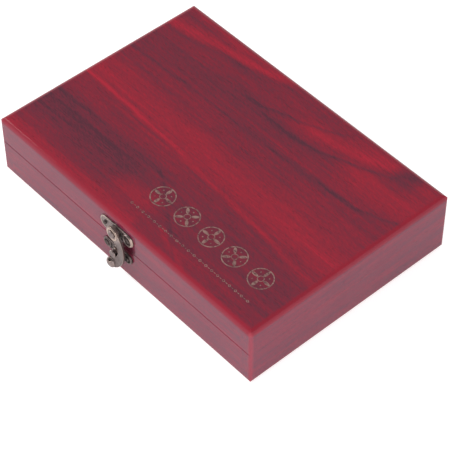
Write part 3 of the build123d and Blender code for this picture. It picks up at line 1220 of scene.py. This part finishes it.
def mark_wear(piece: Piece, rounds: int, gain: float = 2.6) -> None:
    """Write where a piece stands proud and gets rubbed: 0 in hollows, 0.5 on flats, 1 on rims.

    Args:
        piece: The piece, finely meshed.
        rounds: How far the marks spread.
        gain: How strongly a bend counts.
    """
    mesh = piece.data
    count = len(mesh.vertices)
    places, normals = np.zeros(count * 3), np.zeros(count * 3)
    mesh.vertices.foreach_get("co", places)
    mesh.vertices.foreach_get("normal", normals)
    places, normals = places.reshape(-1, 3), normals.reshape(-1, 3)
    ends = np.zeros(len(mesh.edges) * 2, int)
    mesh.edges.foreach_get("vertices", ends)
    one, two = ends.reshape(-1, 2).T
    degree = np.maximum(np.bincount(ends, minlength=count), 1)[:, None]

    def around(values: np.ndarray) -> np.ndarray:
        """The mean of each corner's neighbours.

        Args:
            values: A value or vector for each corner.

        Returns:
            The means, in the same order.
        """
        total = np.zeros_like(values)
        np.add.at(total, one, values[two])
        np.add.at(total, two, values[one])
        return total / degree

    reach = np.linalg.norm(places[one] - places[two], axis=1).mean()
    proud = ((places - around(places)) * normals).sum(1, keepdims=True) / reach * gain
    for _ in range(rounds):
        proud = 0.5 * proud + 0.5 * around(proud)
    layer = mesh.attributes.new("wear", "FLOAT", "POINT")
    layer.data.foreach_set("value", np.clip(0.5 + proud[:, 0], 0, 1).astype(np.float32))


def rub(piece: Piece, place: Vector, reach: float, amount: float) -> None:
    """Brighten the wear marks round a point: where a hand or another part rubs, and where a painted
    highlight goes.

    Args:
        piece: The piece, with its wear marked.
        place: The point.
        reach: How far round it the rubbing goes.
        amount: How much brighter it gets.
    """
    for mark, corner in zip(piece.data.attributes["wear"].data, piece.data.vertices):
        near = 1 - (corner.co - place).length / reach
        mark.value += amount * max(0.0, min(1.0, 2 * near))


def cast(
    pieces: Sequence[Piece], name: str, grain: float, keep: float = 0.5, rounds: int = 3
) -> Piece:
    """Fuse pieces into one casting with softened edges, and mark its wear.

    Args:
        pieces: The closed pieces that it is made of.
        name: The casting's name.
        grain: The size of its finest detail.
        keep: The share of its faces that it keeps.
        rounds: How far its wear marks spread.

    Returns:
        The casting.
    """
    whole = join(pieces)
    finish_with(whole, "REMESH", mode="VOXEL", voxel_size=grain)
    finish_with(whole, "SMOOTH", factor=0.5, iterations=4)
    mark_wear(whole, rounds)
    finish_with(whole, "DECIMATE", ratio=keep)
    take(whole)
    bpy.ops.object.shade_smooth()
    whole.name = whole.data.name = name
    return whole


def hand_over(piece: Piece, body: Body, material: Material, slot: Slot, *nodes: str) -> Piece:
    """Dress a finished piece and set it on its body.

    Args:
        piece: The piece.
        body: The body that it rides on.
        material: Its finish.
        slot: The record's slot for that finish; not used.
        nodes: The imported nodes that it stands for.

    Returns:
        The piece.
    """
    piece.data.materials.clear()
    piece.data.materials.append(material)
    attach(piece, body.value)
    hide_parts(*nodes)
    return piece


# ----------------------------------------------------------------- the pieces


@dataclass
class CaseBoards:
    """The boards of the base and the lid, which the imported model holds."""

    boards: tuple[str, ...] = (
        "base_front_wall", "base_back_wall", "base_left_wall", "base_right_wall", "bottom_panel",
        "lid_front_wall", "lid_back_wall", "lid_left_wall", "lid_right_wall", "lid_panel",
    )

    def build(self, effects: Effects) -> list[Piece]:
        """Lacquer every board.

        Args:
            effects: The shared node groups.

        Returns:
            The boards.
        """
        low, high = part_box("lid_panel")
        low.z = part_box("bottom_panel")[0].z
        lacquer = Rosewood().material(effects, low, high)
        pieces = [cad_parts[name] for name in self.boards]
        for piece in pieces:
            piece.data.materials[0] = lacquer
        return pieces


@dataclass
class Catch:
    """The catch on the front: two cast plates, the hook and its rivet, the stud and four nails.

    The hollows and the curl are the half widths of the balls that cut them. The latch rim's
    brightened spot lies that far along from the right nail, and out of the face: rubbed by a thumb,
    and partly a painted highlight.
    """

    grain: float = 0.00012
    plate: float = 0.0012
    plate_bevel: float = 0.00045
    plate_rim: float = 0.0006
    plate_slope: float = 0.0002
    plate_sinks: float = 0.00028
    latch_lobe: float = 0.0046
    latch_middle: float = 0.005
    latch_swell: float = 0.95
    boss: float = 0.0036
    latch_hollow: Triple = (0.0034, 0.0009, 0.0036)
    latch_hollow_in: float = 0.0004
    nail_hollow: Triple = (0.0016, 0.0005, 0.0016)
    latch_bead: float = 0.00062
    latch_bead_in: float = 0.0002
    latch_bead_out: float = 0.0011
    latch_rim_rubbed: Pair = (0.0024, 0.0018)
    keeper_lobe: float = 0.0037
    keeper_swell: float = 1.3
    keeper_hollow: Triple = (0.0024, 0.0008, 0.0024)
    keeper_bead: float = 0.0006
    keeper_bead_out: float = 0.0009
    bead_inside_lobe: float = 0.0008
    hook_thickness: float = 0.0015
    hook_head: float = 0.005
    hook_rim: float = 0.0006
    hook_sinks: float = 0.00018
    hook_bead: float = 0.0008
    hook_bead_in: float = 0.0011
    hook_bead_sinks: float = 0.0004
    knob_along: float = -0.0024
    knob_radius: float = 0.0035
    knob_depth: float = 0.0019
    knob_clearing: float = 1.1
    clearing_depth: float = 0.004
    curl: Triple = (0.0015, 0.0014, 0.001)
    curl_above_knob: float = 0.0029
    curl_out: float = 0.0008
    knob_rubbed_below: float = 0.001

    def __post_init__(self) -> None:
        """Take the catch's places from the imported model."""
        self.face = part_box("lid_front_wall")[0].y
        rivet, stud = middle_of("hook_rivet"), middle_of("keeper_stud")
        self.centre, self.pivot, self.stud = rivet.x, rivet.z, stud.z
        self.latch_half = size_of("latch_plate").x / 2 - self.latch_lobe
        self.keeper_half = size_of("keeper_plate").x / 2 - self.keeper_lobe
        hook_low, hook_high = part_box("latch_hook")
        self.standoff = self.face - hook_high.y
        self.hook_front = self.standoff + self.hook_thickness
        self.knob_front = self.face - hook_low.y
        self.knob_height = hook_low.z + self.knob_radius

    def at(self, along: float, height: float, out: float) -> Vector:
        """A point on the front: along from the catch's centre, its height, and out of the face."""
        return Vector((self.centre + along, self.face - out, height))

    def build(self, effects: Effects) -> list[Piece]:
        """Make the whole catch.

        Args:
            effects: The shared node groups.

        Returns:
            Its pieces.
        """
        bronze = AntiqueBronze().material(effects)
        # The keeper plate gets a darker copy of the bronze: painted shade for the shadow of the
        # latch plate and hook above it.
        painted_shade_bronze = AntiqueBronze("keeper_bronze_painted_shade", darkness=0.14).material(effects)
        blackened = AntiqueBronze("blackened_nails", darkness=0.22).material(effects)
        made = [
            (self.latch_plate(), Body.LID, bronze, "latch_plate"),
            (self.keeper_plate(), Body.BASE, painted_shade_bronze, "keeper_plate"),
            (self.hook(), Body.HOOK, bronze, "latch_hook"),
            (self.small_part("hook_rivet", "rivet"), Body.LID, bronze, "hook_rivet"),
            (self.small_part("keeper_stud", "stud"), Body.BASE, bronze, "keeper_stud"),
            (self.small_part("latch_nails", "lid_nails"), Body.LID, blackened, "latch_nails"),
            (self.small_part("keeper_nails", "base_nails"), Body.BASE, blackened, "keeper_nails"),
        ]
        return [
            hand_over(piece, body, finish, Slot.BRASS, node) for piece, body, finish, node in made
        ]

    def blank(self, height: float, lobe: float, half: float) -> Piece:
        """A long plate with round ends, a chamfered edge and a sunk field.

        Args:
            height: The height of its middle.
            lobe: The radius of its ends.
            half: How far the ends' centres are from its middle.

        Returns:
            The plate.
        """
        left = self.at(-half, height, 0)
        blank = turned_disc(left, lobe, self.plate, sides=96)
        draw_out(blank, left, Vector((2 * half, 0, 0)))
        with on_bench(blank):
            pick_facing(blank, FRONT, self.plate - self.face)
            bpy.ops.mesh.bevel(offset=self.plate_bevel, segments=3, affect="EDGES")
            pick_facing(blank, FRONT, self.plate - self.face)
            bpy.ops.mesh.inset(thickness=self.plate_rim)
            bpy.ops.mesh.inset(thickness=self.plate_slope, depth=-self.plate_sinks)
        return blank

    def latch_plate(self) -> Piece:
        """The lid's plate, with a sunk, rimmed nail on the right and the hook's boss.

        Returns:
            The plate.
        """
        blank, side = self.blank(self.pivot, self.latch_lobe, self.latch_half), self.latch_half
        right = self.at(side - self.latch_hollow_in, self.pivot, self.plate)
        left = self.at(-side, self.pivot, self.plate)
        carve(blank, ball(right, self.latch_hollow))
        carve(blank, ball(left, self.nail_hollow))
        middle = self.at(0, self.pivot, 0)
        swell = turned_disc(middle, self.latch_middle, self.plate * self.latch_swell)
        boss = turned_disc(middle, self.boss, self.standoff)
        rim = bead_ring(
            self.at(side - self.latch_bead_in, self.pivot, self.latch_bead_out),
            self.latch_lobe - self.bead_inside_lobe, self.latch_bead,
        )
        plate = cast([blank, swell, boss, rim], "cast_latch_plate", self.grain)
        # The right rim is brightened: rubbed brass, and partly a painted highlight.
        along, out = self.latch_rim_rubbed
        rub(plate, self.at(side + along, self.pivot, out), reach=0.005, amount=0.16)
        rub(plate, left, reach=0.007, amount=0.07)
        return plate

    def keeper_plate(self) -> Piece:
        """The base's plate, with a rimmed nail at each end.

        Returns:
            The plate.
        """
        blank = self.blank(self.stud, self.keeper_lobe, self.keeper_half)
        swell = self.plate * self.keeper_swell
        pieces = [blank, turned_disc(self.at(0, self.stud, 0), self.keeper_lobe, swell)]
        for side in (-self.keeper_half, self.keeper_half):
            carve(blank, ball(self.at(side, self.stud, self.plate), self.keeper_hollow))
            nail = self.at(side, self.stud, self.keeper_bead_out)
            ring = self.keeper_lobe - self.bead_inside_lobe
            pieces.append(bead_ring(nail, ring, self.keeper_bead))
        return cast(pieces, "cast_keeper_plate", self.grain)

    def hook(self) -> Piece:
        """The hook, with a raised edge, a fat ring round its rivet and a ball curled from its end.

        Returns:
            The hook.
        """
        blank = traced("latch_hook", "hook_blank")
        with on_bench(blank):
            pick_facing(blank, FRONT, self.hook_front - self.face)
            bpy.ops.mesh.inset(thickness=self.hook_rim, depth=-self.hook_sinks)
        ring = bead_ring(
            self.at(0, self.pivot, self.hook_front - self.hook_bead_sinks),
            self.hook_head - self.hook_bead_in, self.hook_bead,
        )
        along, height, out = self.knob_along, self.knob_height, self.hook_front + HAIR
        clearing = self.knob_radius * self.knob_clearing
        carve(blank, turned_disc(self.at(along, height, out), clearing, self.clearing_depth))
        knob = ball(
            self.at(along, height, self.knob_front - self.knob_depth),
            (self.knob_radius, self.knob_depth, self.knob_radius),
        )
        curl = self.at(along, height + self.curl_above_knob, out + self.curl_out)
        carve(knob, ball(curl, self.curl))
        hook = cast([blank, ring, knob], "cast_hook", self.grain)
        # The ring round the rivet is brightened: rubbed brass, and partly a painted highlight.
        rub(hook, self.at(0, self.pivot, self.hook_front), reach=0.0075, amount=0.2)
        knob_rubbed = self.at(along, height - self.knob_rubbed_below, self.knob_front)
        rub(hook, knob_rubbed, reach=0.006, amount=0.06)
        return hook

    def small_part(self, node: str, name: str) -> Piece:
        """A small turned part of the catch, softened and worn."""
        return cast([traced(node, name)], name, self.grain * 0.8, keep=0.4)


@dataclass
class Hinges:
    """Both butt hinges on the back, with their pins and screws."""

    grain: float = 0.00014
    screw_grain: float = 0.000098
    parts: tuple[tuple[str, Body], ...] = (
        ("hinge_base_leaf", Body.BASE), ("hinge_lid_leaf", Body.LID), ("hinge_pin", Body.BASE)
    )

    def build(self, effects: Effects) -> list[Piece]:
        """Make both hinges.

        Args:
            effects: The shared node groups.

        Returns:
            Their pieces.
        """
        bronze = AntiqueBronze("hinge_bronze", darkness=0.04).material(effects)
        made = [
            (f"{side}_{part}", body, self.grain, 0.3, 4)
            for side in ("left", "right") for part, body in self.parts
        ]
        made += [
            (f"{body.value}_hinge_screws", body, self.screw_grain, 0.35, 3)
            for body in (Body.BASE, Body.LID)
        ]
        pieces = []
        for node, body, grain, keep, rounds in made:
            name = node + "_cast"
            piece = cast([traced(node, name)], name, grain, keep, rounds)
            pieces.append(hand_over(piece, body, bronze, Slot.BRASS, node))
        return pieces


@dataclass
class Tray:
    """The flocked tray: a round seat for each capsule and a finger channel along each column."""

    columns: int = 5
    rows: int = 3
    floor: float = 0.019
    seat: float = 0.0173
    channel: float = 0.007
    channel_depth: float = 0.0035
    softness: float = 0.0007
    over: float = 0.004

    def build(self, effects: Effects) -> list[Piece]:
        """Make the tray.

        Args:
            effects: The shared node groups.

        Returns:
            The tray.
        """
        low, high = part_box("tray_riser")[0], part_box("capsule_tray")[1]
        tray = block(low, high, "flocked_tray_block")
        carve(tray, self.cutters(high.z))
        with on_bench(tray, "EDGE"):
            bpy.ops.mesh.select_all(action="SELECT")
            bpy.ops.mesh.remove_doubles(threshold=0.00002)
            bpy.ops.mesh.dissolve_limited(angle_limit=math.radians(1))
        finish_with(
            tray, "BEVEL", width=self.softness, segments=3, limit_method="ANGLE",
            angle_limit=math.radians(40),
        )
        take(tray)
        bpy.ops.object.shade_smooth_by_angle(angle=math.radians(35))
        flock = Flock("flock_red", painted(62, 14, 22), painted(112, 30, 42), fibre=1.0)
        nodes = "capsule_tray", "tray_riser"
        return [hand_over(tray, Body.BASE, flock.material(effects), Slot.TRAY, *nodes)]

    def cutters(self, top: float) -> Piece:
        """The round cutters of the seats and the long cutters of the channels, fused.

        Args:
            top: The height of the tray's face.

        Returns:
            The cutters.
        """
        places = self.seats()
        ends = self.seat - self.channel
        front, back = places[0].y - ends, places[-1].y + ends
        bottom = Vector((0, 0, self.floor))
        seat = turned_disc(bottom, self.seat, top + self.over - self.floor, 96, UP)
        seats = repeat(seat, [Matrix.Translation(place) for place in places])
        start = Vector((0, front, top - self.channel_depth))
        slot = turned_disc(start, self.channel, self.channel_depth + self.over, 48, UP)
        draw_out(slot, start, Vector((0, back - front, 0)))
        columns = [Matrix.Translation((place.x, 0, 0)) for place in places[: self.columns]]
        carve(seats, repeat(slot, columns), "UNION")
        return seats

    def seats(self) -> list[Vector]:
        """Where the capsules stand, row by row from the front left.

        Returns:
            Their middles on the level.
        """
        count = self.columns * self.rows
        middles = [middle_of(f"capsule_bottom_{number:02d}") for number in range(1, count + 1)]
        return [Vector((middle.x, middle.y, 0)) for middle in middles]


@dataclass
class LidLining:
    """The padded plush lining under the lid, sewn down in a border.

    stitch is the seam's half width in voxels, and flat is how far the stuffing may push a point.
    """

    voxel: float = 0.002
    slack: float = 0.0008
    glue: float = 0.0002
    glued_depth: float = 0.0006
    border: float = 0.009
    stitch: float = 0.55
    flat: float = 0.0014
    pressure: float = 4.0
    frames: int = 20

    def build(self, effects: Effects) -> list[Piece]:
        """Make the lining.

        Args:
            effects: The shared node groups.

        Returns:
            The lining.
        """
        low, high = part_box("lid_lining")
        low += Vector((self.slack, self.slack, self.flat))
        high -= Vector((self.slack, self.slack, self.glue))
        pad = block(low, high, "plush_lining")
        finish_with(pad, "REMESH", mode="VOXEL", voxel_size=self.voxel)
        self.hold(pad, low, high)
        self.swell(pad)
        finish_with(pad, "SUBSURF", levels=1, render_levels=1)
        take(pad)
        bpy.ops.object.shade_smooth()
        plush = Flock("plush_red", painted(86, 16, 26), painted(140, 34, 48), fibre=1.4)
        hand_over(pad, Body.LID, plush.material(effects), Slot.LINING, "lid_lining")
        return [pad]

    def hold(self, pad: Piece, low: Vector, high: Vector) -> None:
        """Mark what glue and stitches hold: the face on the lid, and a seam inside the edge.

        Args:
            pad: The lining.
            low: Its lowest corner.
            high: Its highest corner.
        """
        held = pad.vertex_groups.new(name="held")
        for corner in pad.data.vertices:
            x, y, z = corner.co
            inside = min(x - low.x, high.x - x, y - low.y, high.y - y)
            sewn = abs(inside - self.border) < self.voxel * self.stitch
            if sewn or z > high.z - self.glued_depth:
                held.add([corner.index], 1.0, "REPLACE")

    def swell(self, pad: Piece) -> None:
        """Fill the pad until its stuffing pulls it tight, and keep it within its space.

        Args:
            pad: The lining.
        """
        rest = [corner.co.copy() for corner in pad.data.vertices]
        cloth = pad.modifiers.new("cloth", "CLOTH")
        cloth.settings.vertex_group_mass = "held"
        cloth.settings.use_pressure = True
        cloth.settings.uniform_pressure_force = self.pressure
        cloth.settings.effector_weights.gravity = 0
        cloth.point_cache.frame_start, cloth.point_cache.frame_end = 1, self.frames
        scene = bpy.context.scene
        for number in range(1, self.frames + 1):
            scene.frame_set(number)
        take(pad)
        bpy.ops.object.modifier_apply(modifier="cloth")
        scene.frame_set(1)
        low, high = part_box("lid_lining")
        for corner, start in zip(pad.data.vertices, rest):
            moved = corner.co - start
            if moved.length > self.flat:
                corner.co = start + moved * (self.flat / moved.length)
            corner.co = [max(least, min(most, x)) for x, least, most in zip(corner.co, low, high)]


@dataclass
class Capsules:
    """The clear coin capsules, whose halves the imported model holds."""

    count: int = 15

    def build(self, effects: Effects) -> list[Piece]:
        """Mould every half in clear plastic.

        Args:
            effects: The shared node groups.

        Returns:
            The halves.
        """
        plastic = ClearPlastic().material(effects)
        halves = [
            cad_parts[f"capsule_{half}_{number:02d}"]
            for number in range(1, self.count + 1) for half in ("bottom", "top")
        ]
        for half in halves:
            half.data.materials[0] = plastic
        return halves


@dataclass
class FoilOrnament:
    """A pressed foil row of five coin rosettes over a thin line of lozenges.

    heart, leaves_out and dots_out are shares of a rosette's outer radius.
    """

    centres: tuple[float, ...] = (0.0028, 0.0242, 0.045, 0.065, 0.0867)
    row: float = -0.0466
    outer: float = 0.0079
    stroke: float = 0.0007
    heart: float = 0.28
    heart_stroke: float = 0.00049
    leaf: float = 0.002418
    leaf_width: float = 0.42
    leaves_out: float = 0.6
    dot: float = 0.00055
    dots_out: float = 0.62
    line: float = -0.063
    line_start: float = -0.0055
    line_end: float = 0.0938
    lozenges: int = 21
    lozenge: float = 0.00125
    lozenge_stroke: float = 0.00035
    lozenge_width: float = 0.8
    bar: float = 0.0008
    bar_width: float = 0.26
    thickness: float = 0.00005

    def build(self, effects: Effects) -> list[Piece]:
        """Press the whole ornament.

        Args:
            effects: The shared node groups.

        Returns:
            The ornament.
        """
        turns = [
            Matrix.Translation((x, self.row, 0)) @ Matrix.Rotation(number % 2 * math.pi / 4, 4, "Z")
            for number, x in enumerate(self.centres)
        ]
        whole = join([repeat(self.rosette(), turns), self.border()])
        finish_with(whole, "SOLIDIFY", thickness=self.thickness, offset=1)
        settle(whole, "foil_ornament")
        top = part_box("lid_panel")[1].z
        low = min(corner.co.z for corner in whole.data.vertices)
        whole.data.transform(Matrix.Translation((0, 0, top - low)))
        whole.data.materials.append(WornFoil().material(effects))
        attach(whole, Body.LID.value)
        return [whole]

    def mark(self, radius: float, stroke: float, sides: int = 72, width: float = 1.0) -> Piece:
        """A flat mark at the origin, round or squeezed into a leaf or lozenge.

        Args:
            radius: Its radius, or half its length.
            stroke: The width of its outline, or 0 for a filled shape.
            sides: How many sides it has.
            width: How wide it is for its length.

        Returns:
            The mark.
        """
        bpy.ops.mesh.primitive_circle_add(
            vertices=sides, radius=radius, fill_type="NGON", location=(0, 0, 0)
        )
        mark = bpy.context.active_object
        with on_bench(mark):
            bpy.ops.mesh.select_all(action="SELECT")
            bpy.ops.transform.resize(value=(1, width, 1), center_override=(0, 0, 0))
            if stroke:
                bpy.ops.mesh.inset(thickness=stroke)
                bpy.ops.mesh.delete(type="FACE")
        return mark

    def round_heart(self, mark: Piece, out: float, start: float) -> Piece:
        """Set a mark four times round the rosette's heart.

        Args:
            mark: The mark.
            out: How far out it stands, as a share of the outer radius.
            start: The angle of the first one, in radians.

        Returns:
            The four marks.
        """
        step, still = Matrix.Translation((out * self.outer, 0, 0)), Matrix.Rotation(-start, 4, "Z")
        angles = [start + quarter * math.pi / 2 for quarter in range(4)]
        return repeat(mark, [Matrix.Rotation(angle, 4, "Z") @ step @ still for angle in angles])

    def rosette(self) -> Piece:
        """One rosette: two rings, with four leaves and four dots between them.

        Returns:
            The rosette, at the origin.
        """
        leaf = self.mark(self.leaf, 0.0, 32, self.leaf_width)
        return join([
            self.mark(self.outer, self.stroke),
            self.mark(self.outer * self.heart, self.heart_stroke),
            self.round_heart(leaf, self.leaves_out, 0.0),
            self.round_heart(self.mark(self.dot, 0.0, 4), self.dots_out, math.pi / 4),
        ])

    def border(self) -> Piece:
        """The thin line under the row: lozenges with short bars between them.

        Returns:
            The line.
        """
        step = (self.line_end - self.line_start) / (self.lozenges - 1)
        along = [
            Matrix.Translation((self.line_start + number * step / 2, self.line, 0))
            for number in range(2 * self.lozenges - 1)
        ]
        lozenge = self.mark(self.lozenge, self.lozenge_stroke, 4, self.lozenge_width)
        bar = self.mark(self.bar, 0.0, 16, self.bar_width)
        return join([repeat(lozenge, along[::2]), repeat(bar, along[1::2])])


def main() -> None:
    """Build every sub-assembly in order and report its pieces."""
    effects = Effects()
    Studio().build()
    for maker in (CaseBoards(), Catch(), Hinges(), Tray(), LidLining(), Capsules(), FoilOrnament()):
        for piece in maker.build(effects):
            log.info("%s made %s", type(maker).__name__, piece.name)


if __name__ == "__main__":
    main()
